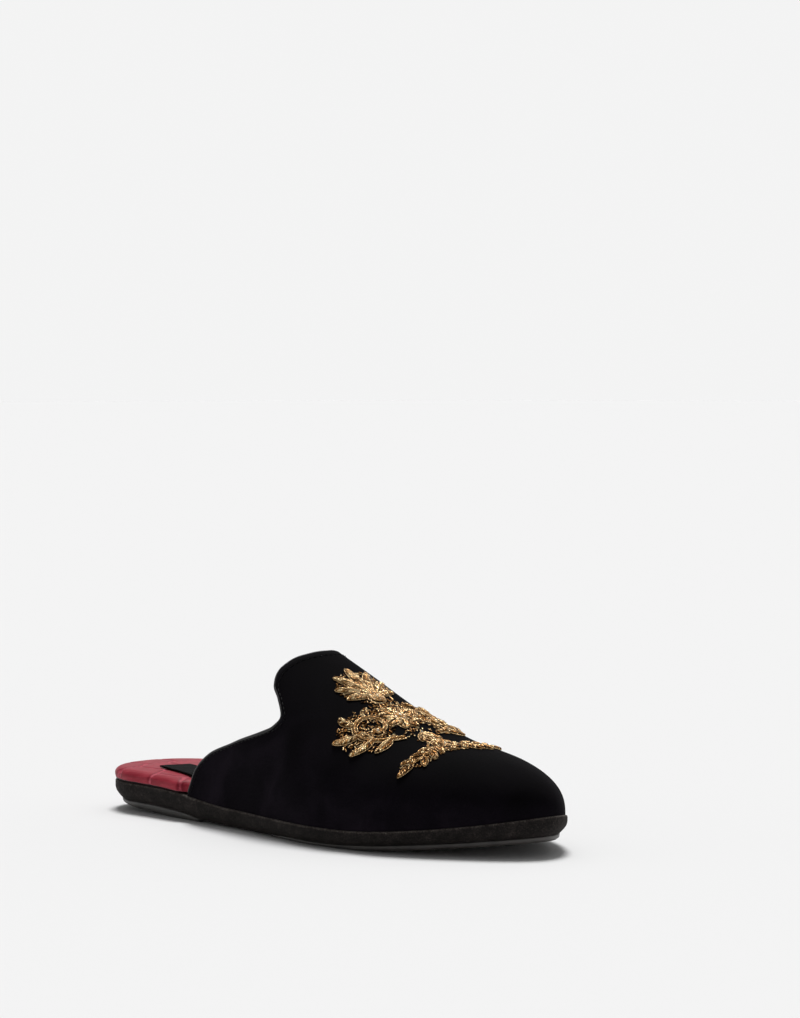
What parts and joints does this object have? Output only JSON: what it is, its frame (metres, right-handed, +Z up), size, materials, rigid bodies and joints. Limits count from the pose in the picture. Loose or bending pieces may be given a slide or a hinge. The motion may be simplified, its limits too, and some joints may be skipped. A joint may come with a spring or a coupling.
{
  "type": "babouche slipper",
  "caption": "Backless flat slipper for the right foot: velvet upper rising to a tongue, raised metal-thread embroidery, suede-wrapped platform on two rubber pads, padded leather insole.",
  "frame": {"origin": "centre of the bounding box, on the floor under the slipper", "axes": "+X towards the toe, +Y to the medial side, +Z up, floor at z = 0"},
  "size_m": [0.29, 0.1016, 0.0861],
  "materials": {
    "velvet": "black cotton velvet, short pile with a cool sheen at grazing angles",
    "suede": "brown-black suede, brushed",
    "rubber": "dark grey moulded rubber, satin",
    "insole_leather": "crimson scale-embossed calf over padding, semi-gloss",
    "label_tape": "plain black woven tape",
    "goldwork": "gilt metal thread, coiled and couched over padding"
  },
  "bodies": {
    "root": {"upper": "velvet", "midsole": "suede", "outsole_heel": "rubber", "outsole_forefoot": "rubber", "insole": "insole_leather", "insole_label": "label_tape", "goldwork_palmette": "goldwork", "goldwork_rosette": "goldwork", "goldwork_scroll_lateral": "goldwork", "goldwork_scroll_medial": "goldwork", "goldwork_spray_lateral": "goldwork", "goldwork_spray_medial": "goldwork", "goldwork_drop": "goldwork"}
  },
  "joints": []
}
